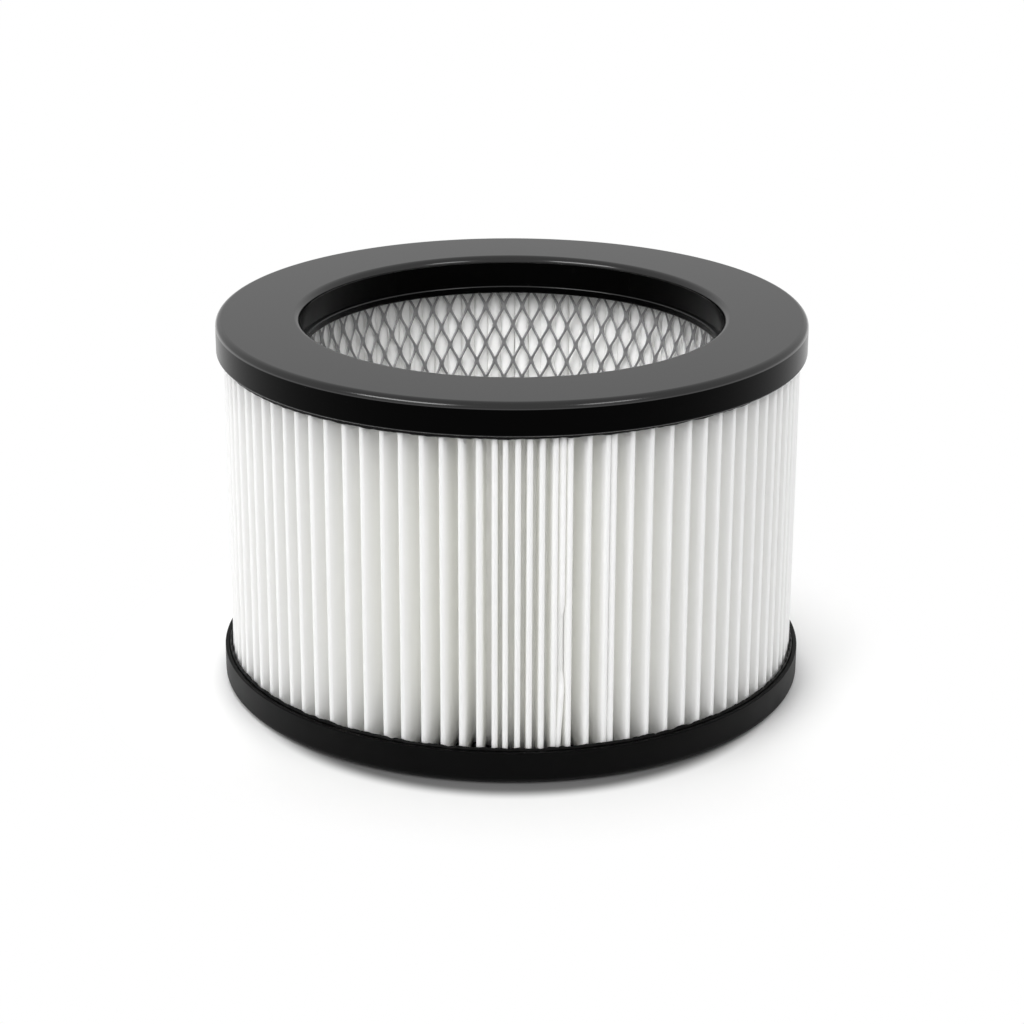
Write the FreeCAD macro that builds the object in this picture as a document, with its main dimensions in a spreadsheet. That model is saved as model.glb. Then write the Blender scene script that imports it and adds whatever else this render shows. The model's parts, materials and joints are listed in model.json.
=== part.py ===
import FreeCAD, Part
import math
import os
import Sketcher

# Round vacuum cleaner filter: a ring of pleated paper round an expanded-metal core, glued into two end caps.
# Z is up, the underside of the closed cap is at height 0, and the seam of the paper faces the front, -Y.

doc = FreeCAD.newDocument("VacuumFilter")

# Driving dimensions in millimetres, degrees and counts
SIZES = {
    "height": 96.0,
    "top_rim_height": 8.2,
    "top_plate": 2.0,
    "top_edge_bevel": 1.0,
    "skirt_wall": 1.2,
    "bore_diameter": 107.4,
    "face_width": 21.3,
    "bore_edge_bevel": 1.6,
    "collar_depth": 10.0,
    "collar_wall": 1.6,
    "lip_height": 2.0,
    "lip_step": 0.8,
    "tray_rim_height": 8.1,
    "tray_wall": 1.2,
    "tray_floor": 2.0,
    "dam_height": 8.6,
    "dam_wall": 0.9,
    "glue_bulge": 1.0,
    "glue_depth": 1.6,
    "glue_crest": 0.8,
    "tip_clearance": 0.5,
    "tray_clearance": 0.8,
    "paper_thickness": 0.7,
    "pleat_count": 92,
    "seam_pleat_count": 6,
    "seam_pitch": 2.5,
    "seam_bearing": -88.1,
    "core_thickness": 0.8,
    "core_clearance": 0.2,
    "pack_clearance": 0.2,
    "core_columns": 38,
    "core_half_rows": 5,
    "strand_width": 2.0,
}

sizes = doc.addObject("Spreadsheet::Sheet", "Sizes")
for row, (alias, value) in enumerate(SIZES.items(), start=1):
    sizes.set(f"A{row}", alias)
    sizes.set(f"B{row}", str(value))
    sizes.setAlias(f"B{row}", alias)
doc.recompute()

# Radii and heights where pieces meet, each written once as an expression of the sheet
BORE_RADIUS = "(Sizes.bore_diameter / 2)"
TOP_RADIUS = f"({BORE_RADIUS} + Sizes.face_width)"
SKIRT_INSIDE = f"({TOP_RADIUS} - Sizes.skirt_wall)"
COLLAR_OUTSIDE = f"({BORE_RADIUS} + Sizes.collar_wall)"
TIP_RADIUS = f"({SKIRT_INSIDE} - Sizes.tip_clearance)"
TRAY_INSIDE = f"({TIP_RADIUS} + Sizes.tray_clearance)"
TRAY_RADIUS = f"({TRAY_INSIDE} + Sizes.tray_wall)"
CEILING = "(Sizes.height - Sizes.top_plate)"
SKIRT_EDGE = "(Sizes.height - Sizes.top_rim_height)"
COLLAR_EDGE = "(Sizes.height - Sizes.collar_depth)"
UPPER_GLUE = f"({SKIRT_EDGE} - Sizes.glue_bulge)"
LOWER_GLUE = "(Sizes.tray_floor + Sizes.glue_depth)"
PACK_HEIGHT = f"({UPPER_GLUE} - {LOWER_GLUE})"
HALF_COLUMN = "(180 / Sizes.core_columns)"
CORE_INSIDE = f"({COLLAR_OUTSIDE} + Sizes.core_clearance)"
CORE_OUTSIDE = f"({CORE_INSIDE} + Sizes.core_thickness)"
CORE_CORNER = f"({CORE_OUTSIDE} / cos({HALF_COLUMN}))"
VALLEY_RADIUS = f"({CORE_CORNER} + Sizes.pack_clearance)"


def worth(expression):
    """Number that an expression of the sheet has now."""
    return float(sizes.evalExpression(expression))


def origin_feature(body, role):
    """Plane or axis of a body's own origin."""
    for feature in body.Origin.OriginFeatures:
        if feature.Role == role:
            return feature
    raise ValueError(role)


def new_body(label):
    body = doc.addObject("PartDesign::Body", label)
    body.Label = label
    return body


def new_sketch(body, plane, name):
    sketch = body.newObject("Sketcher::SketchObject", name)
    sketch.AttachmentSupport = [(origin_feature(body, plane), "")]
    sketch.MapMode = "FlatFace"
    return sketch


def add_loop(sketch, points):
    """Closed run of lines through the points; gives the number of its first line."""
    first = sketch.GeometryCount
    count = len(points)
    for index, point in enumerate(points):
        sketch.addGeometry(Part.LineSegment(point, points[(index + 1) % count]))
    for index in range(count):
        following = first + (index + 1) % count
        sketch.addConstraint(Sketcher.Constraint("Coincident", first + index, 2, following, 1))
    return first


def bind(sketch, kind, *places, to):
    """Dimension between two places of a sketch, tied to an expression."""
    number = sketch.addConstraint(Sketcher.Constraint(kind, *places, worth(to)))
    sketch.setExpression(f"Constraints[{number}]", to)


def pin_corner(sketch, line, across, along):
    """Hold the start of a line at a distance across and along from the sketch's origin."""
    for kind, axis, expression in (("DistanceX", -2, across), ("DistanceY", -1, along)):
        if expression == "0":
            sketch.addConstraint(Sketcher.Constraint("PointOnObject", line, 1, axis))
        else:
            bind(sketch, kind, -1, 1, line, 1, to=expression)


def draw_outline(sketch, corners):
    """Closed outline whose corners are pairs of expressions."""
    points = [FreeCAD.Vector(worth(across), worth(along), 0) for across, along in corners]
    first = add_loop(sketch, points)
    for index, (across, along) in enumerate(corners):
        pin_corner(sketch, first + index, across, along)


def turned_body(label, corners):
    """Body turned about Z from the corners of its half section, as radius and height."""
    body = new_body(label)
    sketch = new_sketch(body, "XZ_Plane", f"{label}_section")
    draw_outline(sketch, corners)
    turn = body.newObject("PartDesign::Revolution", f"{label}_turn")
    turn.Profile = sketch
    turn.ReferenceAxis = (sketch, ["V_Axis"])
    turn.Angle = 360
    doc.recompute()
    return body


def bevel_edge(body, name, radius, height, size):
    """Bevel the circular edge of a turned body that lies at a radius and a height."""
    base = body.Tip
    chosen = []
    for number, edge in enumerate(base.Shape.Edges, start=1):
        if not isinstance(edge.Curve, Part.Circle):
            continue
        same_radius = math.isclose(edge.Curve.Radius, worth(radius), abs_tol=1e-4)
        same_height = math.isclose(edge.Curve.Center.z, worth(height), abs_tol=1e-4)
        if same_radius and same_height:
            chosen.append(f"Edge{number}")
    bevel = body.newObject("PartDesign::Chamfer", name)
    bevel.Base = (base, chosen)
    bevel.setExpression("Size", size)
    doc.recompute()


# Tray of the closed lower end: floor, thin outer rim, and a low ring that keeps the glue off the middle
DAM_INSIDE = f"({COLLAR_OUTSIDE} - Sizes.dam_wall)"
bottom_cap = turned_body("bottom_end_cap", (
    ("0", "0"),
    (TRAY_RADIUS, "0"),
    (TRAY_RADIUS, "Sizes.tray_rim_height"),
    (TRAY_INSIDE, "Sizes.tray_rim_height"),
    (TRAY_INSIDE, "Sizes.tray_floor"),
    (COLLAR_OUTSIDE, "Sizes.tray_floor"),
    (COLLAR_OUTSIDE, "Sizes.dam_height"),
    (DAM_INSIDE, "Sizes.dam_height"),
    (DAM_INSIDE, "Sizes.tray_floor"),
    ("0", "Sizes.tray_floor"),
))

# Glue cast in the tray: a shallow bed under the paper, squeezed up past the rim outside the pleat tips
CREST_INSIDE = f"({TIP_RADIUS} + Sizes.pack_clearance)"
CREST_TOP = "(Sizes.tray_rim_height + Sizes.glue_crest)"
bottom_potting = turned_body("bottom_potting", (
    (COLLAR_OUTSIDE, "Sizes.tray_floor"),
    (TRAY_INSIDE, "Sizes.tray_floor"),
    (TRAY_INSIDE, CREST_TOP),
    (CREST_INSIDE, CREST_TOP),
    (CREST_INSIDE, LOWER_GLUE),
    (COLLAR_OUTSIDE, LOWER_GLUE),
))

# Ring cap of the open upper end: sealing plate, outer skirt, and a collar with a stop lip at its lower end
LIP_RADIUS = f"({BORE_RADIUS} - Sizes.lip_step)"
LIP_TOP = f"({COLLAR_EDGE} + Sizes.lip_height)"
top_cap = turned_body("top_end_cap", (
    (LIP_RADIUS, COLLAR_EDGE),
    (COLLAR_OUTSIDE, COLLAR_EDGE),
    (COLLAR_OUTSIDE, CEILING),
    (SKIRT_INSIDE, CEILING),
    (SKIRT_INSIDE, SKIRT_EDGE),
    (TOP_RADIUS, SKIRT_EDGE),
    (TOP_RADIUS, "Sizes.height"),
    (BORE_RADIUS, "Sizes.height"),
    (BORE_RADIUS, LIP_TOP),
    (LIP_RADIUS, LIP_TOP),
))
bevel_edge(top_cap, "outer_edge_bevel", TOP_RADIUS, "Sizes.height", "Sizes.top_edge_bevel")
bevel_edge(top_cap, "bore_edge_bevel", BORE_RADIUS, "Sizes.height", "Sizes.bore_edge_bevel")

# Glue cast in the upper cap, which bulges a little below the skirt
top_potting = turned_body("top_potting", (
    (COLLAR_OUTSIDE, UPPER_GLUE),
    (SKIRT_INSIDE, UPPER_GLUE),
    (SKIRT_INSIDE, CEILING),
    (COLLAR_OUTSIDE, CEILING),
))


def add_pleats(body, name, count, pitch, first_bearing):
    """Run of equal pleats: one fold of paper drawn from valley to valley, raised and repeated round Z."""
    half = f"({pitch} / 2)"
    sketch = new_sketch(body, "XY_Plane", f"{name}_fold")
    sketch.setExpression("AttachmentOffset.Base.z", LOWER_GLUE)
    sketch.setExpression("AttachmentOffset.Rotation.Angle", first_bearing)
    tip = worth(TIP_RADIUS)
    valley = worth(VALLEY_RADIUS)
    paper = worth("Sizes.paper_thickness")
    slope = math.radians(worth(half))
    cosine = math.cos(slope)
    sine = math.sin(slope)
    flat = 0.8 * paper
    upper_side = [
        FreeCAD.Vector(tip, flat, 0),
        FreeCAD.Vector((valley + paper) * cosine, (valley + paper) * sine, 0),
        FreeCAD.Vector(valley * cosine, valley * sine, 0),
        FreeCAD.Vector(valley * cosine + flat * sine, valley * sine - flat * cosine, 0),
    ]
    inner_fold = FreeCAD.Vector(tip - paper, 0, 0)
    lower_side = [FreeCAD.Vector(point.x, -point.y, 0) for point in reversed(upper_side)]
    add_loop(sketch, upper_side + [inner_fold] + lower_side)
    outer_flank, joint, valley_flat, inner_flank = 0, 1, 2, 3
    fold_point = 4
    for index in range(4):
        mirror = 8 - index
        sketch.addConstraint(Sketcher.Constraint("Symmetric", index, 1, mirror, 1, -1))
    bind(sketch, "DistanceX", -1, 1, outer_flank, 1, to=TIP_RADIUS)
    outer_valley = f"({VALLEY_RADIUS} + Sizes.paper_thickness)"
    pin_corner(sketch, joint, f"{outer_valley} * cos({half})", f"{outer_valley} * sin({half})")
    pin_corner(sketch, valley_flat, f"{VALLEY_RADIUS} * cos({half})", f"{VALLEY_RADIUS} * sin({half})")
    pin_corner(sketch, fold_point, f"{TIP_RADIUS} - Sizes.paper_thickness", "0")
    sketch.addConstraint(Sketcher.Constraint("Perpendicular", joint, valley_flat))
    sketch.addConstraint(Sketcher.Constraint("Parallel", outer_flank, inner_flank))
    bind(sketch, "Distance", fold_point, 1, outer_flank, to="Sizes.paper_thickness")
    pleat = body.newObject("PartDesign::Pad", f"{name}_pleat")
    pleat.Profile = sketch
    pleat.setExpression("Length", PACK_HEIGHT)
    doc.recompute()
    ring = body.newObject("PartDesign::PolarPattern", f"{name}_ring")
    ring.Originals = [pleat]
    ring.Axis = (origin_feature(body, "Z_Axis"), [""])
    ring.Mode = "Spacing"
    ring.setExpression("Offset", pitch)
    ring.setExpression("Occurrences", count)
    body.Tip = ring
    doc.recompute()


# One sheet of paper folded into a ring, with a few tighter folds where its two ends are joined
media = new_body("pleated_media")
SEAM_ARC = "(Sizes.seam_pleat_count * Sizes.seam_pitch)"
PITCH = f"((360 - {SEAM_ARC}) / Sizes.pleat_count)"
add_pleats(media, "main", "Sizes.pleat_count", PITCH, f"{SEAM_ARC} / 2 + {PITCH} / 2")
add_pleats(media, "seam", "Sizes.seam_pleat_count", "Sizes.seam_pitch", f"(Sizes.seam_pitch - {SEAM_ARC}) / 2")
media.setExpression("Placement.Rotation.Angle", "Sizes.seam_bearing")


def add_diamonds(body, name, half_rows, bearing):
    """Column of diamond openings cut through one side of the core, repeated in every other column."""
    sketch = new_sketch(body, "YZ_Plane", f"{name}_diamonds")
    if bearing != "0":
        turn = FreeCAD.Rotation(FreeCAD.Vector(0, 1, 0), worth(bearing))
        sketch.AttachmentOffset = FreeCAD.Placement(FreeCAD.Vector(0, 0, 0), turn)
        sketch.setExpression("AttachmentOffset.Rotation.Angle", bearing)
    for half_row in half_rows:
        middle = f"({LOWER_GLUE} + {half_row} * {HALF_ROW})"
        draw_outline(sketch, (
            (HALF_DIAMOND, middle),
            ("0", f"{middle} + {HALF_OPENING}"),
            (f"-{HALF_DIAMOND}", middle),
            ("0", f"{middle} - {HALF_OPENING}"),
        ))
    cut = body.newObject("PartDesign::Pocket", f"{name}_cut")
    cut.Profile = sketch
    cut.Reversed = True
    cut.setExpression("Length", TOP_RADIUS)
    doc.recompute()
    ring = body.newObject("PartDesign::PolarPattern", f"{name}_ring")
    ring.Originals = [cut]
    ring.Axis = (origin_feature(body, "Z_Axis"), [""])
    ring.Mode = "Spacing"
    ring.setExpression("Offset", f"4 * {HALF_COLUMN}")
    ring.setExpression("Occurrences", "Sizes.core_columns / 2")
    body.Tip = ring
    doc.recompute()


# Expanded metal rolled into a tube: flat strands between columns of staggered diamonds
HALF_ROW = f"({PACK_HEIGHT} / Sizes.core_half_rows)"
COLUMN_WIDTH = f"(2 * {CORE_OUTSIDE} * tan({HALF_COLUMN}))"
MESH_REACH = f"({COLUMN_WIDTH} * {HALF_ROW} / hypot({COLUMN_WIDTH}; {HALF_ROW}))"
OPEN_SHARE = f"(1 - Sizes.strand_width / 2 / {MESH_REACH})"
HALF_DIAMOND = f"({COLUMN_WIDTH} * {OPEN_SHARE})"
HALF_OPENING = f"({HALF_ROW} * {OPEN_SHARE})"
core = new_body("inner_core")
tube = core.newObject("PartDesign::AdditivePrism", "tube")
hollow = core.newObject("PartDesign::SubtractivePrism", "hollow")
for prism, radius in ((tube, CORE_OUTSIDE), (hollow, CORE_INSIDE)):
    prism.setExpression("Polygon", "Sizes.core_columns")
    prism.setExpression("Circumradius", f"{radius} / cos({HALF_COLUMN})")
    prism.setExpression("Height", PACK_HEIGHT)
    prism.setExpression("Placement.Base.z", LOWER_GLUE)
doc.recompute()
last_half_row = round(worth("Sizes.core_half_rows"))
add_diamonds(core, "odd", range(1, last_half_row + 1, 2), "0")
add_diamonds(core, "even", range(0, last_half_row + 1, 2), f"2 * {HALF_COLUMN}")

# Check every object, then write one file for each piece
doc.recompute()
for item in doc.Objects:
    if "Invalid" in item.State or "Error" in item.State:
        raise RuntimeError(f"{item.Label} did not build")
os.makedirs("parts", exist_ok=True)
for piece in (bottom_cap, bottom_potting, core, media, top_potting, top_cap):
    if piece.Shape.isNull() or not piece.Shape.isValid():
        raise RuntimeError(f"{piece.Label} has no valid solid")
    piece.Shape.exportStep(f"parts/{piece.Label}.step")
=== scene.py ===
import bmesh
import bpy
import json
import math
import random
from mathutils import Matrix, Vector, noise


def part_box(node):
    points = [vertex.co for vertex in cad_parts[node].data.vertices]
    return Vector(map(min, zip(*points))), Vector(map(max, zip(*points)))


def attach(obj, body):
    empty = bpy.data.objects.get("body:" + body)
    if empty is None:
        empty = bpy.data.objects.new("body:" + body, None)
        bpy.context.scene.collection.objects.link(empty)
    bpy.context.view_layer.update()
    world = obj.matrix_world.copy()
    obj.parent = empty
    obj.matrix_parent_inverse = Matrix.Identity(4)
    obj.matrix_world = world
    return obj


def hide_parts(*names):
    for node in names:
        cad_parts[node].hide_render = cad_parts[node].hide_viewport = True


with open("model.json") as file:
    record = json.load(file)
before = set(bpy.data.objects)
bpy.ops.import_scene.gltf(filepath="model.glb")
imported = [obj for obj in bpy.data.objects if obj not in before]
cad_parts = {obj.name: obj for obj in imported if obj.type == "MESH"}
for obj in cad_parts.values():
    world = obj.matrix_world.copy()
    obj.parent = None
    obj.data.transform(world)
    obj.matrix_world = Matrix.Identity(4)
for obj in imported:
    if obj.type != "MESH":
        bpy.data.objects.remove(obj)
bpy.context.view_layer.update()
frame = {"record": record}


# Bottom end cap: a shallow round tray that closes the foot of the filter, injection moulded in black
# polypropylene. Its rim and the low ring inside it hold the glue that the paper stands in.
MM = 0.001
SIDES = 192
_, tray_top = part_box("bottom_end_cap")
_, glue_bed_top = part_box("bottom_potting")
bore_mount = next(m for m in frame["record"]["mounts"] if m["name"] == "collar_bore")
bore_radius = bore_mount["dims"]["r_mm"] * MM
collar_radius = bore_radius + 1.6 * MM
tray_radius = tray_top.x
tray_inside = glue_bed_top.x
rim_height = 8.1 * MM
tray_floor = 2.0 * MM
dam_height = tray_top.z
dam_wall = 0.9 * MM


def add_round_blank(name, radius, low, high, sides=SIDES):
    """Add a plain round blank between two heights and open it in edit mode."""
    bpy.ops.object.select_all(action="DESELECT")
    middle = (low + high) / 2
    bpy.ops.mesh.primitive_cylinder_add(
        vertices=sides, radius=radius, depth=high - low, location=(0, 0, middle))
    piece = bpy.context.object
    piece.name = piece.data.name = name
    bpy.ops.object.transform_apply(location=True, rotation=True, scale=True)
    bpy.ops.object.mode_set(mode="EDIT")
    return piece


def pick_discs(*heights):
    """Select the discs on the axis of the open blank that lie at the given heights."""
    bpy.ops.mesh.select_mode(type="FACE")
    bpy.ops.mesh.select_all(action="DESELECT")
    mesh = bpy.context.object.data
    form = bmesh.from_edit_mesh(mesh)
    for face in form.faces:
        centre = face.calc_center_median()
        on_axis = math.hypot(centre.x, centre.y) < 0.1 * MM
        face.select_set(on_axis and any(abs(centre.z - height) < 0.01 * MM for height in heights))
    bmesh.update_edit_mesh(mesh)


def carve_disc(*steps):
    """Inset the picked disc, then raise or sink it, one step after the other towards the axis."""
    for inset, rise in steps:
        bpy.ops.mesh.inset(thickness=inset)
        if rise:
            bpy.ops.mesh.extrude_region_move(TRANSFORM_OT_translate={"value": (0, 0, rise)})


def round_rings(reach, segments, *rings):
    """Round the circular edges that lie at the given pairs of radius and height."""
    bpy.ops.mesh.select_mode(type="EDGE")
    bpy.ops.mesh.select_all(action="DESELECT")
    mesh = bpy.context.object.data
    form = bmesh.from_edit_mesh(mesh)
    for edge in form.edges:
        ends = [(math.hypot(vertex.co.x, vertex.co.y), vertex.co.z) for vertex in edge.verts]
        edge.select_set(any(
            all(math.dist(end, ring) < 0.05 * MM for end in ends) for ring in rings))
    bmesh.update_edit_mesh(mesh)
    bpy.ops.mesh.bevel(offset=reach, segments=segments, affect="EDGES")


def close_shape(sharp_angle=40):
    """Leave edit mode and shade the piece smooth up to its sharp edges, with its flats kept flat."""
    bpy.ops.object.mode_set(mode="OBJECT")
    bpy.ops.object.shade_smooth_by_angle(angle=math.radians(sharp_angle))
    flats = bpy.context.object.modifiers.new("flats", "WEIGHTED_NORMAL")
    flats.keep_sharp = True
    bpy.ops.object.modifier_apply(modifier=flats.name)


bottom_cap = add_round_blank("bottom_end_cap_tray", tray_radius, 0, rim_height)
pick_discs(rim_height)
carve_disc(
    (tray_radius - tray_inside, tray_floor - rim_height),
    (tray_inside - collar_radius, dam_height - tray_floor),
    (dam_wall, tray_floor - dam_height),
)
round_rings(1.6 * MM, 6, (tray_radius, 0))
round_rings(0.3 * MM, 3, (tray_radius, rim_height), (tray_inside, rim_height))
round_rings(0.25 * MM, 2, (collar_radius, dam_height), (collar_radius - dam_wall, dam_height))
close_shape()


def linear(hex_colour):
    """Linear RGBA of an sRGB hex colour."""
    shares = [int(hex_colour[place:place + 2], 16) / 255 for place in (1, 3, 5)]
    return [s / 12.92 if s <= 0.04045 else ((s + 0.055) / 1.055) ** 2.4 for s in shares] + [1.0]


def new_material(name, **surface):
    """Material with one Principled shader, whose sockets take the given constant values."""
    material = bpy.data.materials.new(name)
    material.use_nodes = True
    shader = material.node_tree.nodes["Principled BSDF"]
    for socket, value in surface.items():
        shader.inputs[socket.replace("_", " ").title().replace("Ior", "IOR")].default_value = value
    return material, shader


def add_node(material, kind, values=None, links=None, **settings):
    """Add a node: settings are its properties, values its sockets, links its sources by socket."""
    made = material.node_tree.nodes.new(kind)
    for key, value in settings.items():
        setattr(made, key, value)
    for socket, value in (values or {}).items():
        made.inputs[socket].default_value = value
    for socket, (source, output) in (links or {}).items():
        material.node_tree.links.new(source.outputs[output], made.inputs[socket])
    return made


def feed(material, shader, **sources):
    """Link nodes to the sockets of a material's shader."""
    for socket, (source, output) in sources.items():
        material.node_tree.links.new(
            source.outputs[output], shader.inputs[socket.replace("_", " ").title()])


# Moulded polypropylene: a soft matt black with a fine, even grain and little gloss
tray_plastic, shader = new_material(
    "moulded_polypropylene_matt", specular_ior_level=0.15, specular_tint=linear("#808080"))
place = add_node(tray_plastic, "ShaderNodeTexCoord")
grain_size = 0.35 * MM
grain = add_node(
    tray_plastic, "ShaderNodeTexNoise", {"Scale": 1 / grain_size, "Detail": 3.0},
    {"Vector": (place, "Object")})
cloud_size = 14 * MM
cloud = add_node(
    tray_plastic, "ShaderNodeTexNoise", {"Scale": 1 / cloud_size, "Detail": 4.0},
    {"Vector": (place, "Object")})
tint = add_node(
    tray_plastic, "ShaderNodeMix", {6: linear("#060606"), 7: linear("#0b0b0b")},
    {"Factor": (cloud, "Fac")}, data_type="RGBA")
rough = add_node(
    tray_plastic, "ShaderNodeMapRange", {"To Min": 0.42, "To Max": 0.58}, {"Value": (cloud, "Fac")})
bumps = add_node(
    tray_plastic, "ShaderNodeBump", {"Strength": 0.25, "Distance": 0.03 * MM},
    {"Height": (grain, "Fac")})
feed(tray_plastic, shader, base_color=(tint, 2), roughness=(rough, "Result"), normal=(bumps, "Normal"))
bottom_cap.data.materials.append(tray_plastic)
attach(bottom_cap, "root")
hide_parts("bottom_end_cap")


# Inner core: a tube rolled from one sheet of expanded steel, galvanised dull grey. It carries the paper
# on the side of the clean air, and both its ends are set in the glue.
core_low, core_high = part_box("inner_core")
core_thickness = 0.45 * MM
core_radius = collar_radius + 0.2 * MM + 0.8 * MM / 2
cells_round = 70
cell_rows = 8
cell_width = 2 * math.pi * core_radius / cells_round
cell_height = (core_high.z - core_low.z) / cell_rows
bond_width = 1.05 * MM
bond_height = 1.9 * MM
strand_tilt = 0.3 * MM
first_cell = math.radians(1.67)
half_hole = ((cell_width - bond_width) / 2, (cell_height - bond_height) / 2)

bpy.ops.object.select_all(action="DESELECT")
bpy.ops.mesh.primitive_circle_add(vertices=16, radius=cell_width / 2, fill_type="NGON")
core = bpy.context.object
core.name = core.data.name = "inner_core_mesh"
for corner in core.data.vertices:
    turn = math.atan2(corner.co.y, corner.co.x) / (math.pi / 2)
    side = round(turn * 4) / 4
    upward = 1 - abs(abs(side) - 1)
    across = math.copysign(1 - upward, math.cos(side * math.pi / 2 + 1e-9))
    corner.co = (across * cell_width / 2, 0, math.copysign(upward, side) * cell_height / 2)
bpy.ops.object.mode_set(mode="EDIT")
bpy.ops.mesh.select_mode(type="FACE")
bpy.ops.mesh.select_all(action="SELECT")
bpy.ops.mesh.inset(thickness=0.2 * MM)
form = bmesh.from_edit_mesh(core.data)
for corner in form.verts:
    if corner.select:
        spokes = [edge.other_vert(corner) for edge in corner.link_edges]
        rim = next(other.co for other in spokes if not other.select)
        upward = rim.z / (cell_height / 2)
        across = math.copysign(1 - abs(upward) ** 1.5, rim.x)
        corner.co = (across * half_hole[0], strand_tilt * upward, upward * half_hole[1])
bmesh.update_edit_mesh(core.data)
bpy.ops.mesh.delete(type="FACE")
bpy.ops.mesh.select_all(action="SELECT")
bpy.ops.mesh.duplicate_move(
    TRANSFORM_OT_translate={"value": (cell_width / 2, 0, cell_height / 2)})
bpy.ops.object.mode_set(mode="OBJECT")
for count, step in ((cells_round, (cell_width, 0, 0)), (cell_rows + 1, (0, 0, cell_height))):
    row = core.modifiers.new("row", "ARRAY")
    row.count = count
    row.use_relative_offset = False
    row.use_constant_offset = True
    row.constant_offset_displace = step
    bpy.ops.object.modifier_apply(modifier=row.name)
bpy.ops.object.mode_set(mode="EDIT")
for height, clear_low in ((0, True), (core_high.z - core_low.z, False)):
    bpy.ops.mesh.select_all(action="SELECT")
    bpy.ops.mesh.bisect(
        plane_co=(0, 0, height), plane_no=(0, 0, 1), clear_inner=clear_low, clear_outer=not clear_low)
bpy.ops.object.mode_set(mode="OBJECT")
for corner in core.data.vertices:
    bearing = corner.co.x / core_radius + first_cell
    reach = core_radius + corner.co.y
    corner.co = (reach * math.sin(bearing), -reach * math.cos(bearing), core_low.z + corner.co.z)
bpy.ops.object.mode_set(mode="EDIT")
bpy.ops.mesh.select_all(action="SELECT")
bpy.ops.mesh.remove_doubles(threshold=0.01 * MM)
bpy.ops.mesh.normals_make_consistent(inside=False)
bpy.ops.object.mode_set(mode="OBJECT")
wall = core.modifiers.new("wall", "SOLIDIFY")
wall.thickness = core_thickness
wall.offset = 0
bpy.ops.object.modifier_apply(modifier=wall.name)
bpy.ops.object.shade_smooth_by_angle(angle=math.radians(40))

# Hot-dip zinc on steel, gone dull: mid grey, slightly mottled, with broad soft highlights
zinc, shader = new_material("galvanised_steel_dull", metallic=0.35)
place = add_node(zinc, "ShaderNodeTexCoord")
spangle_size = 2.5 * MM
spangle = add_node(
    zinc, "ShaderNodeTexNoise", {"Scale": 1 / spangle_size, "Detail": 4.0, "Roughness": 0.6},
    {"Vector": (place, "Object")})
tint = add_node(
    zinc, "ShaderNodeMix", {6: linear("#949495"), 7: linear("#adadae")},
    {"Factor": (spangle, "Fac")}, data_type="RGBA")
rough = add_node(
    zinc, "ShaderNodeMapRange", {"To Min": 0.45, "To Max": 0.65}, {"Value": (spangle, "Fac")})
feed(zinc, shader, base_color=(tint, 2), roughness=(rough, "Result"))
core.data.materials.append(zinc)
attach(core, "root")
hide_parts("inner_core")


# Pleated paper: one sheet of white non-woven glass-fibre and polyester filter paper, scored and folded to
# and fro into a ring. Its two ends are joined near the front, where the pleats crowd together.
pack_low, pack_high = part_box("pleated_media")
paper = 0.5 * MM
soak = 0.6 * MM
sheet_low = pack_low.z - soak
sheet_high = pack_high.z + soak
tip_reach = pack_high.x - paper / 2
valley_reach = core_high.x + 0.2 * MM + paper / 2
tip_round = 0.42 * MM
valley_round = 1.8 * MM
rows = 24
hand = random.Random(12)

# Bearings of the tips round the join in degrees from the front, from the photograph
join_tips = [-17.3, -13.5, -9.9, -6.6, -3.7, -1.7, 0.6, 2.8, 5.1, 7.5, 9.0, 10.3, 13.8, 17.3, 18.7, 22.2]
join_depth_share = 0.92
crushed_tip = join_tips.index(9.0)
shallow_valleys = {crushed_tip: 2.6 * MM, crushed_tip + 1: 2.6 * MM, join_tips.index(18.7): 1.1 * MM}

# The crushed tip is pressed in between two levels of the sheet. Below them it leans left as a flap, so the
# valley left of it closes and the one right of it gapes: degrees of bearing and distances at the foot.
pressed_from = 0.25
pressed_to = 0.46
pressed_in = 1.9 * MM
flap_top = 0.27
foot_shifts = {"left_valley": -0.38, "crushed_tip": -0.75, "right_valley": -0.1}
foot_rises = {"left_valley": 2.0 * MM, "right_valley": -8 * MM}

# Degrees from tip to tip over the rest of the ring: a plain pitch, a little wider on both sides of the join
plain_pitch = 3.7
wider_by = 0.45
wider_at = 28
wider_within = 12
full_depth_pitch = 3.6
tips = list(join_tips)
while tips[-1] < 360 + tips[0] - 2:
    away = min(tips[-1], 360 - tips[-1])
    tips.append(tips[-1] + plain_pitch + wider_by * math.exp(-((away - wider_at) / wider_within) ** 2))
spare = (360 + tips[0] - tips[-1]) / (len(tips) - len(join_tips))
for number in range(len(join_tips), len(tips)):
    tips[number] += spare * (number + 1 - len(join_tips)) + hand.uniform(-0.2, 0.2)
tips.pop()

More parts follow.
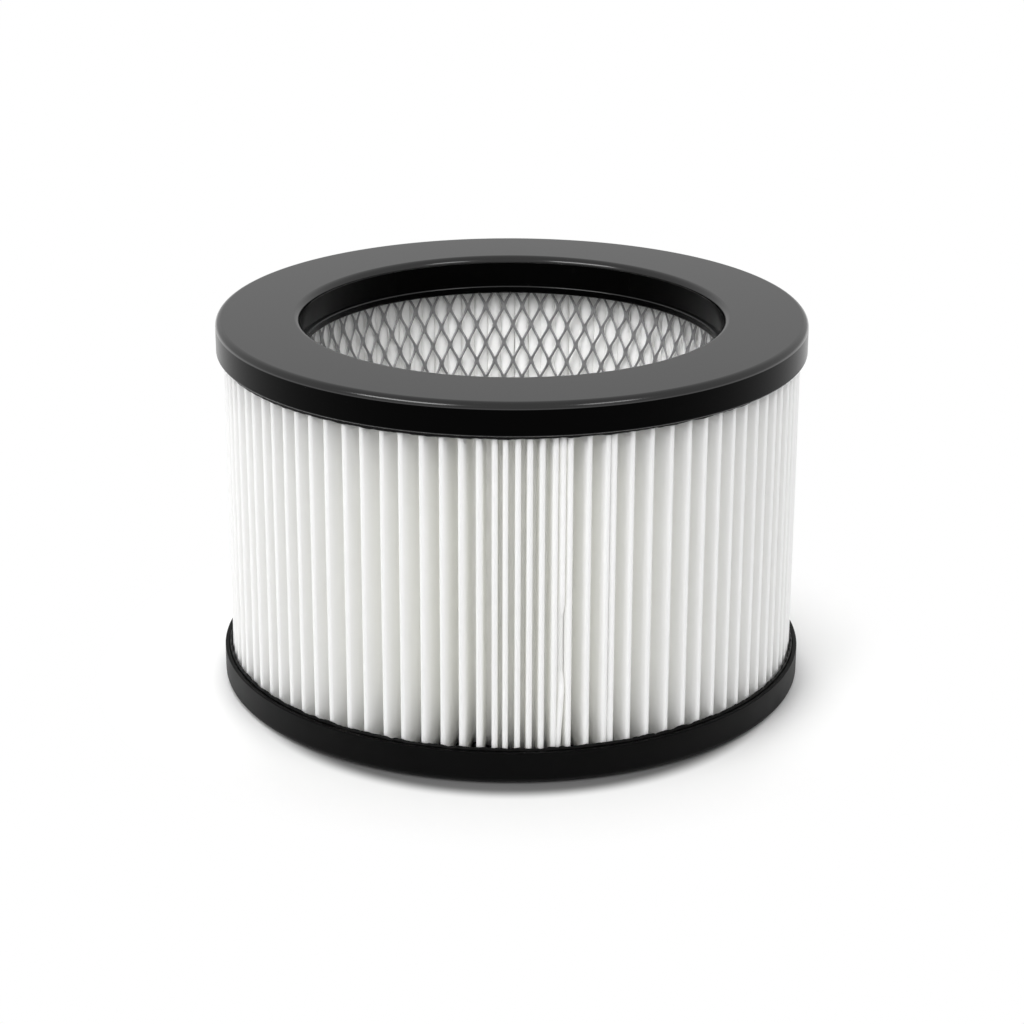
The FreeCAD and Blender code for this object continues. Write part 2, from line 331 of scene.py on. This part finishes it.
folds = []
for number, bearing in enumerate(tips):
    before = tips[number - 1] - (360 if number == 0 else 0)
    hollow = shallow_valleys.get(number)
    depth = (tip_reach - valley_reach) * min(1, (bearing - before) / full_depth_pitch)
    if number < len(join_tips):
        depth *= join_depth_share
    room = 0.45 * math.radians(bearing - before) * valley_reach
    folds.append({
        "bearing": (before + bearing) / 2 + (0 if hollow else hand.uniform(-0.06, 0.06)),
        "reach": tip_reach - (hollow or depth),
        "round": -0.12 * MM if hollow else -min(valley_round, room),
        "sway": 0.0 if number < len(join_tips) else hand.uniform(-0.06, 0.06),
        "phase": hand.uniform(0, 6.3),
        "name": {crushed_tip: "left_valley", crushed_tip + 1: "right_valley"}.get(number),
    })
    doubled = hollow or number + 1 in shallow_valleys
    folds.append({
        "bearing": bearing,
        "reach": tip_reach - (0.3 if number == crushed_tip else hand.uniform(0, 0.25)) * MM,
        "round": tip_round * (0.9 if doubled else hand.uniform(0.9, 1.15)),
        "sway": 0.0 if number < len(join_tips) else hand.uniform(-0.1, 0.1),
        "phase": hand.uniform(0, 6.3),
        "name": "crushed_tip" if number == crushed_tip else None,
    })
first = folds[0]
folds.append(dict(first, bearing=first["bearing"] + 360))


def ease(share):
    """Smooth step from 0 to 1."""
    share = min(max(share, 0), 1)
    return share * share * (3 - 2 * share)


def fold_at(fold, level):
    """Bearing in degrees and reach of a fold at a level from 0, the foot of the sheet, to 1."""
    held = math.sin(math.pi * level) ** 0.7
    foot = ease((flap_top - level) / flap_top)
    bearing = fold["bearing"] + held * fold["sway"] * (1 + 0.5 * math.sin(4 * level + fold["phase"]))
    bearing += foot * foot_shifts.get(fold["name"], 0)
    reach = fold["reach"] + foot * foot_rises.get(fold["name"], 0)
    if fold["name"] == "crushed_tip":
        reach -= pressed_in * ease((level - pressed_from) / 0.04) * (1 - ease((level - pressed_to) / 0.05))
    return bearing, reach


tip_turns = (-75, -50, -25, 0, 25, 50, 75)
valley_turns = (-70, -35, 0, 35, 70)
valley_flatness = 0.45


def sheet_line(level):
    """Line of the folded sheet at a level, as points of bearing in degrees and reach."""
    arcs = []
    for number, fold in enumerate(folds):
        bearing, reach = fold_at(fold, level)
        turns = tip_turns if fold["round"] > 0 else valley_turns
        if number == 0:
            turns = turns[2:]
        if number == len(folds) - 1:
            turns = turns[:3]
        bend = abs(fold["round"])
        flatness = 1 if fold["round"] > 0 else valley_flatness
        arcs.append([
            (bearing + math.degrees(bend * math.sin(math.radians(turn)) / reach),
             reach - fold["round"] * (1 - math.cos(math.radians(turn))) * flatness)
            for turn in turns])
    line = []
    for arc, following in zip(arcs, arcs[1:]):
        line += arc
        (start_bearing, start_reach), (end_bearing, end_reach) = arc[-1], following[0]
        for share in (0.25, 0.5, 0.75):
            line.append((
                start_bearing + (end_bearing - start_bearing) * share,
                start_reach + (end_reach - start_reach) * share))
    return line + arcs[-1]


columns = len(sheet_line(0)) - 1
bpy.ops.object.select_all(action="DESELECT")
bpy.ops.mesh.primitive_grid_add(x_subdivisions=columns, y_subdivisions=rows, size=1, calc_uvs=True)
media = bpy.context.object
media.name = media.data.name = "pleated_media_sheet"
lines = [sheet_line(row / rows) for row in range(rows + 1)]
middle = lines[rows // 2]
run = [0.0]
for (bearing, reach), (next_bearing, next_reach) in zip(middle, middle[1:]):
    run.append(run[-1] + math.hypot(next_reach - reach, reach * math.radians(next_bearing - bearing)))
cells = [(round((v.co.x + 0.5) * columns), round((v.co.y + 0.5) * rows)) for v in media.data.vertices]
for vertex, (column, row) in zip(media.data.vertices, cells):
    bearing, reach = lines[row][column]
    bearing = math.radians(bearing)
    height = sheet_low + (sheet_high - sheet_low) * row / rows
    vertex.co = (reach * math.sin(bearing), -reach * math.cos(bearing), height)
flat_map = media.data.uv_layers.active
for loop in media.data.loops:
    column, row = cells[loop.vertex_index]
    flat_map.data[loop.index].uv = (run[column], (sheet_high - sheet_low) * row / rows)
bpy.ops.object.mode_set(mode="EDIT")
bpy.ops.mesh.select_all(action="SELECT")
bpy.ops.mesh.remove_doubles(threshold=0.01 * MM)
bpy.ops.mesh.normals_make_consistent(inside=False)
bpy.ops.object.mode_set(mode="OBJECT")
wall = media.modifiers.new("paper", "SOLIDIFY")
wall.thickness = paper
wall.offset = 0
bpy.ops.object.modifier_apply(modifier=wall.name)
bpy.ops.object.shade_smooth()

# Filter paper of felted fibres: soft white with no gloss, faint clouds where the felt is thicker, and a
# fine hairy grain along the machine direction, drawn coarser than the real fibres so that it shows. Light
# soaks a little way in and softens the shading of the folds.
felt, shader = new_material(
    "nonwoven_filter_paper", roughness=0.95, specular_ior_level=0.1, subsurface_weight=1.0,
    subsurface_radius=(1.0, 1.0, 1.0), subsurface_scale=0.6 * MM)
place = add_node(felt, "ShaderNodeUVMap", uv_map=flat_map.name)
cloud_size = 5 * MM
cloud = add_node(
    felt, "ShaderNodeTexNoise", {"Scale": 1 / cloud_size, "Detail": 5.0, "Roughness": 0.6},
    {"Vector": (place, "UV")})
combed = add_node(
    felt, "ShaderNodeMapping", {"Scale": (1.0, 0.12, 1.0)}, {"Vector": (place, "UV")})
fibre_size = 0.3 * MM
fibres = add_node(
    felt, "ShaderNodeTexNoise", {"Scale": 1 / fibre_size, "Detail": 3.0, "Roughness": 0.65},
    {"Vector": (combed, "Vector")})
blend = add_node(
    felt, "ShaderNodeMix", {"Factor": 0.4}, {2: (cloud, "Fac"), 3: (fibres, "Fac")}, data_type="FLOAT")
tint = add_node(
    felt, "ShaderNodeMix", {6: linear("#f8f8f6"), 7: linear("#fdfdfc")},
    {"Factor": (blend, 0)}, data_type="RGBA")
bumps = add_node(
    felt, "ShaderNodeBump", {"Strength": 0.35, "Distance": 0.06 * MM}, {"Height": (blend, 0)})
feed(felt, shader, base_color=(tint, 2), normal=(bumps, "Normal"))
media.data.materials.append(felt)
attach(media, "root")
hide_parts("pleated_media")


# Lower glue: black polyurethane cast in the tray, with the paper and the core standing in it. Pushing
# the pleats home squeezed it up past the rim outside their tips, in a ragged crest.
crest_top = glue_bed_top.z
crest_inside = pack_high.x + 0.2 * MM
bed_top = pack_low.z
glue_sides = 1080
lump_size = 2.6 * MM
crumb_size = 1 * MM

bottom_glue = add_round_blank("bottom_potting_bed", tray_inside, tray_floor, crest_top, glue_sides)
pick_discs(crest_top)
carve_disc((tray_inside - crest_inside, bed_top - crest_top), (crest_inside - collar_radius, 0))
pick_discs(tray_floor)
carve_disc((tray_inside - collar_radius, 0))
pick_discs(tray_floor, bed_top)
bpy.ops.mesh.bridge_edge_loops()
round_rings(0.28 * MM, 3, (tray_inside, crest_top), (crest_inside, crest_top))
form = bmesh.from_edit_mesh(bottom_glue.data)
for vertex in form.verts:
    if vertex.co.z > crest_top - 1 * MM:
        x, y, _ = vertex.co
        lumps = noise.noise(Vector((x, y, 0)) / lump_size) + 0.5 * noise.noise(Vector((x, y, 9)) / crumb_size)
        inward = (tray_inside - math.hypot(x, y)) / (tray_inside - crest_inside)
        vertex.co.z += (0.4 * lumps - 0.4 + 0.45 * inward) * MM
bmesh.update_edit_mesh(bottom_glue.data)
close_shape(60)

# Cast polyurethane, cured black: a wet-looking skin that sagged and dimpled as it set
glue, shader = new_material("cast_polyurethane_black", specular_ior_level=0.12)
place = add_node(glue, "ShaderNodeTexCoord")
dimple_size = 1.2 * MM
dimples = add_node(
    glue, "ShaderNodeTexNoise", {"Scale": 1 / dimple_size, "Detail": 2.0}, {"Vector": (place, "Object")})
tint = add_node(
    glue, "ShaderNodeMix", {6: linear("#030303"), 7: linear("#070707")},
    {"Factor": (dimples, "Fac")}, data_type="RGBA")
rough = add_node(
    glue, "ShaderNodeMapRange", {"To Min": 0.3, "To Max": 0.5}, {"Value": (dimples, "Fac")})
bumps = add_node(
    glue, "ShaderNodeBump", {"Strength": 0.5, "Distance": 0.15 * MM}, {"Height": (dimples, "Fac")})
feed(glue, shader, base_color=(tint, 2), roughness=(rough, "Result"), normal=(bumps, "Normal"))
bottom_glue.data.materials.append(glue)
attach(bottom_glue, "root")
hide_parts("bottom_potting")


# Upper glue: the same black polyurethane, cast into the upturned top cap. It fills the channel between
# skirt and collar and hangs a little below the skirt, more on the left of the front than on the right.
upper_low, upper_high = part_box("top_potting")
skirt_inside = upper_high.x
drip_size = 3 * MM
drop_size = 1.2 * MM
top_glue = add_round_blank("top_potting_bed", skirt_inside, upper_low.z, upper_high.z, glue_sides)
pick_discs(upper_high.z)
carve_disc((skirt_inside - collar_radius, 0))
pick_discs(upper_low.z)
carve_disc((skirt_inside - collar_radius, 0))
pick_discs(upper_low.z, upper_high.z)
bpy.ops.mesh.bridge_edge_loops()
round_rings(0.4 * MM, 3, (skirt_inside, upper_low.z))
form = bmesh.from_edit_mesh(top_glue.data)
for vertex in form.verts:
    if vertex.co.z < upper_low.z + 1 * MM and math.hypot(vertex.co.x, vertex.co.y) > pack_high.x - 2 * MM:
        x, y, _ = vertex.co
        lumps = noise.noise(Vector((x, y, 3)) / drip_size) + 0.5 * noise.noise(Vector((x, y, 12)) / drop_size)
        vertex.co.z += (0.25 * lumps + 0.35 * x / skirt_inside) * MM
bmesh.update_edit_mesh(top_glue.data)
close_shape(60)
top_glue.data.materials.append(glue)
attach(top_glue, "root")
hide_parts("top_potting")


# Top end cap: a ring cap moulded in black ABS. Its flat face seals against the cleaner, its skirt covers
# the ends of the pleats, and its collar, with a stop lip inside its lower end, takes the outlet spigot.
cap_low, cap_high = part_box("top_end_cap")
cap_radius = cap_high.x
skirt_edge = cap_high.z - 8.2 * MM
ceiling = upper_high.z
lip_step = 0.8 * MM
lip_top = cap_low.z + 2.0 * MM
lip_radius = bore_radius - lip_step

top_cap = add_round_blank("top_end_cap_ring", cap_radius, skirt_edge, cap_high.z)
pick_discs(cap_high.z)
carve_disc((cap_radius - bore_radius, lip_top - cap_high.z), (lip_step, 0))
pick_discs(skirt_edge)
carve_disc(
    (cap_radius - skirt_inside, ceiling - skirt_edge),
    (skirt_inside - collar_radius, cap_low.z - ceiling),
    (collar_radius - lip_radius, 0),
)
pick_discs(lip_top, cap_low.z)
bpy.ops.mesh.bridge_edge_loops()
round_rings(1.6 * MM, 8, (cap_radius, cap_high.z))
round_rings(1.7 * MM, 8, (bore_radius, cap_high.z))
round_rings(0.3 * MM, 3, (cap_radius, skirt_edge), (lip_radius, lip_top), (lip_radius, cap_low.z))
close_shape()

# Moulded ABS on the flat faces: black with a satin gloss, faintly clouded
cap_plastic, shader = new_material("moulded_abs_satin")
place = add_node(cap_plastic, "ShaderNodeTexCoord")
cloud_size = 18 * MM
cloud = add_node(
    cap_plastic, "ShaderNodeTexNoise", {"Scale": 1 / cloud_size, "Detail": 5.0, "Roughness": 0.55},
    {"Vector": (place, "Object")})
grain_size = 0.4 * MM
grain = add_node(
    cap_plastic, "ShaderNodeTexNoise", {"Scale": 1 / grain_size, "Detail": 2.0},
    {"Vector": (place, "Object")})
tint = add_node(
    cap_plastic, "ShaderNodeMix", {6: linear("#020202"), 7: linear("#050505")},
    {"Factor": (cloud, "Fac")}, data_type="RGBA")
rough = add_node(
    cap_plastic, "ShaderNodeMapRange", {"To Min": 0.1, "To Max": 0.16}, {"Value": (cloud, "Fac")})
bumps = add_node(
    cap_plastic, "ShaderNodeBump", {"Strength": 0.06, "Distance": 0.02 * MM}, {"Height": (grain, "Fac")})
feed(cap_plastic, shader, base_color=(tint, 2), roughness=(rough, "Result"), normal=(bumps, "Normal"))
top_cap.data.materials.append(cap_plastic)

# The same ABS on the rounded edges, given more gloss than the face: the side lamps draw a thin bright line
# along them, a boosted highlight on what is most likely one finish
cap_edges, shader = new_material(
    "moulded_abs_boosted_edge_highlight", base_color=linear("#030303"), roughness=0.16, specular_ior_level=0.75)
top_cap.data.materials.append(cap_edges)

# The same ABS on the upright walls, given less gloss than the face: they stay deep black, as in the
# photograph.
# The damped reflection is painted shade on what is most likely one finish
cap_walls, shader = new_material(
    "moulded_abs_damped_wall_reflection", base_color=linear("#030303"), roughness=0.2, specular_ior_level=0.08,
    specular_tint=linear("#808080"))
top_cap.data.materials.append(cap_walls)
# Facets sorted by slope: flat faces satin, rounded edges with a boosted highlight, walls with painted shade
level_facet = 0.995
upright_facet = 0.05
for facet in top_cap.data.polygons:
    slope = abs(facet.normal.z)
    facet.material_index = 0 if slope > level_facet else 1 if slope > upright_facet else 2
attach(top_cap, "root")
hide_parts("top_end_cap")


# Studio: a white card as the floor, soft lamps in front, behind and at both sides, a small lamp with a
# narrow beam over the bore, and the camera where the photograph was taken from. Of the lamps, only those
# at the sides show in the gloss.
bpy.ops.object.select_all(action="DESELECT")
bpy.ops.mesh.primitive_grid_add(x_subdivisions=8, y_subdivisions=8, size=12, location=(0, 0, 0))
floor = bpy.context.object
floor.name = floor.data.name = "studio_floor"

# White card: close by it takes the filter's soft shadow, and in front of its foot a painted shadow deepens
# it, seen by the camera only. It is plain white beyond
shadow_start = 76 * MM
shadow_end = 110 * MM
# Painted shadow: inside this circle, moved to the front, camera rays see the card darker than its real shade
painted_shadow_centre = (0, -14 * MM, 0)
painted_shadow_start = 64 * MM
painted_shadow_end = 70 * MM
card, shader = new_material("white_background_card", roughness=0.9, specular_ior_level=0.0)
place = add_node(card, "ShaderNodeTexCoord")
reach = add_node(
    card, "ShaderNodeVectorMath", links={0: (place, "Object")}, operation="LENGTH")
far = add_node(
    card, "ShaderNodeMapRange", {"From Min": shadow_start, "From Max": shadow_end},
    {"Value": (reach, "Value")}, interpolation_type="SMOOTHSTEP")
reach = add_node(
    card, "ShaderNodeVectorMath", {1: painted_shadow_centre}, {0: (place, "Object")}, operation="DISTANCE")
painted_shadow_mask = add_node(
    card, "ShaderNodeMapRange", {"From Min": painted_shadow_end, "From Max": painted_shadow_start},
    {"Value": (reach, "Value")}, interpolation_type="SMOOTHSTEP")
rays = add_node(card, "ShaderNodeLightPath")
painted_shadow_share = add_node(
    card, "ShaderNodeMath", links={0: (rays, "Is Camera Ray"), 1: (painted_shadow_mask, "Result")}, operation="MULTIPLY")
# Painted shadow: for camera rays the card's colour goes to dark grey #787878 in front of the foot
tint = add_node(
    card, "ShaderNodeMix", {6: linear("#fbfbfb"), 7: linear("#787878")},
    {"Factor": (painted_shadow_share, 0)}, data_type="RGBA")
feed(card, shader, base_color=(tint, 2))
seen = add_node(
    card, "ShaderNodeMath", links={0: (rays, "Is Camera Ray"), 1: (rays, "Is Glossy Ray")},
    operation="MAXIMUM")
seen = add_node(
    card, "ShaderNodeMath", links={0: (seen, 0), 1: (rays, "Is Transmission Ray")}, operation="MAXIMUM")
share = add_node(
    card, "ShaderNodeMath", links={0: (seen, 0), 1: (far, "Result")}, operation="MULTIPLY")
glow = add_node(card, "ShaderNodeEmission", {"Strength": 1.0})
both = add_node(
    card, "ShaderNodeMixShader", links={0: (share, 0), 1: (shader, "BSDF"), 2: (glow, "Emission")})
card.node_tree.links.new(both.outputs[0], card.node_tree.nodes["Material Output"].inputs["Surface"])
floor.data.materials.append(card)

# Lamps: position, aim, width and height in metres, and power in watts
full_beam = math.radians(180)
narrow_beam = math.radians(60)
lamps = {
    "lamp_front": ((0, -1.35, 0.52), (0, 0, 0.06), 0.7, 0.7, 0.2),
    "lamp_left": ((-0.9, -0.92, 0.95), (0, 0, 0.06), 0.9, 0.35, 5.6),
    "lamp_right": ((0.8, -1.0, 0.95), (0, 0, 0.06), 0.5, 0.35, 2.1),
    "lamp_behind": ((0, 1.5, 0.9), (0, 0, 0.07), 1.0, 1.0, 16),
    "lamp_above": ((-0.035, -0.055, 0.3), (0, 0.05, 0.06), 0.14, 0.14, 0.11),
}
for name, (spot, aim, width, height, power) in lamps.items():
    lamp = bpy.data.lights.new(name, "AREA")
    lamp.shape = "RECTANGLE"
    lamp.size = width
    lamp.size_y = height
    lamp.energy = power
    lamp.spread = narrow_beam if name == "lamp_above" else full_beam
    holder = bpy.data.objects.new(name, lamp)
    bpy.context.scene.collection.objects.link(holder)
    holder.location = spot
    holder.rotation_euler = (Vector(aim) - Vector(spot)).to_track_quat("-Z", "Y").to_euler()
    holder.visible_camera = False
    holder.visible_glossy = name in ("lamp_left", "lamp_right")

world = bpy.data.worlds.new("studio_air")
bpy.context.scene.world = world
world.use_nodes = True
world.node_tree.nodes["Background"].inputs["Color"].default_value = (1, 1, 1, 1)
world.node_tree.nodes["Background"].inputs["Strength"].default_value = 0.63

lens = bpy.data.cameras.new("camera")
lens.sensor_width = 36
lens.lens = 95.15
camera = bpy.data.objects.new("camera", lens)
bpy.context.scene.collection.objects.link(camera)
camera.location = (-6.89 * MM, -661.48 * MM, 287.46 * MM)
camera.rotation_euler = (math.pi / 2 - 0.3556, -0.0028, -0.0096)
bpy.context.scene.camera = camera
bpy.context.scene.view_settings.view_transform = "Standard"
bpy.context.scene.cycles.max_bounces = 24
bpy.context.scene.cycles.diffuse_bounces = 24
